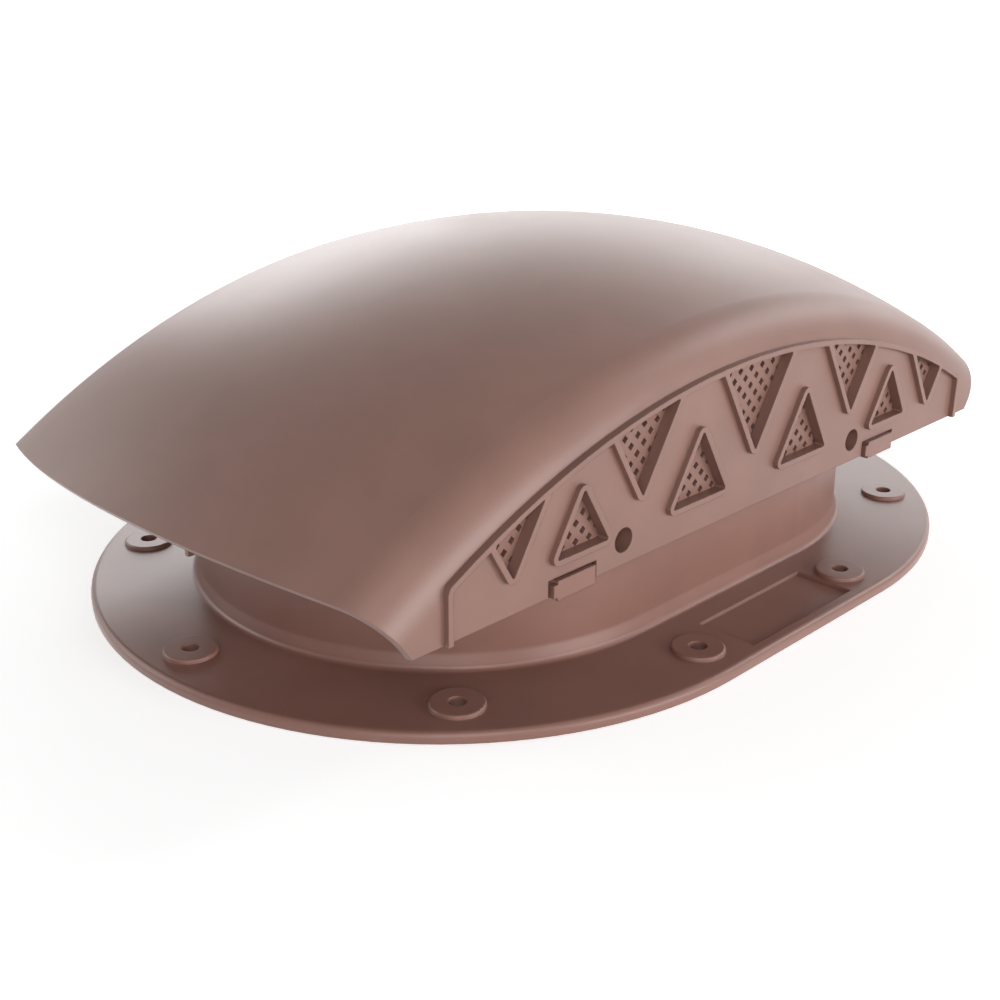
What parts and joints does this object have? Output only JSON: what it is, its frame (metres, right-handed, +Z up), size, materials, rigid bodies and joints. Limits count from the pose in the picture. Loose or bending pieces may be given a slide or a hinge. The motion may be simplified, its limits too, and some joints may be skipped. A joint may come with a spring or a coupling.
{
  "type": "roof tile vent",
  "caption": "Low domed roof ventilator: an obround screw-down flange and neck under an arched hood, with triangular screened openings in its front and rear faces and open ends.",
  "frame": {"origin": "middle of the flange's underside", "axes": "+X along the grille faces, towards the right end as seen from the front, -Y towards the front grille with the sunk plate on the flange, +Z up from the roof"},
  "size_m": [0.3988, 0.282, 0.1297],
  "materials": {
    "hood_plastic": "satin chocolate-brown moulded plastic",
    "base_plastic": "satin chocolate-brown moulded plastic",
    "screen_plastic": "satin brown perforated sheet"
  },
  "bodies": {
    "root": {"base": "base_plastic", "hood": "hood_plastic", "front_screen": "screen_plastic", "rear_screen": "screen_plastic"}
  },
  "joints": []
}
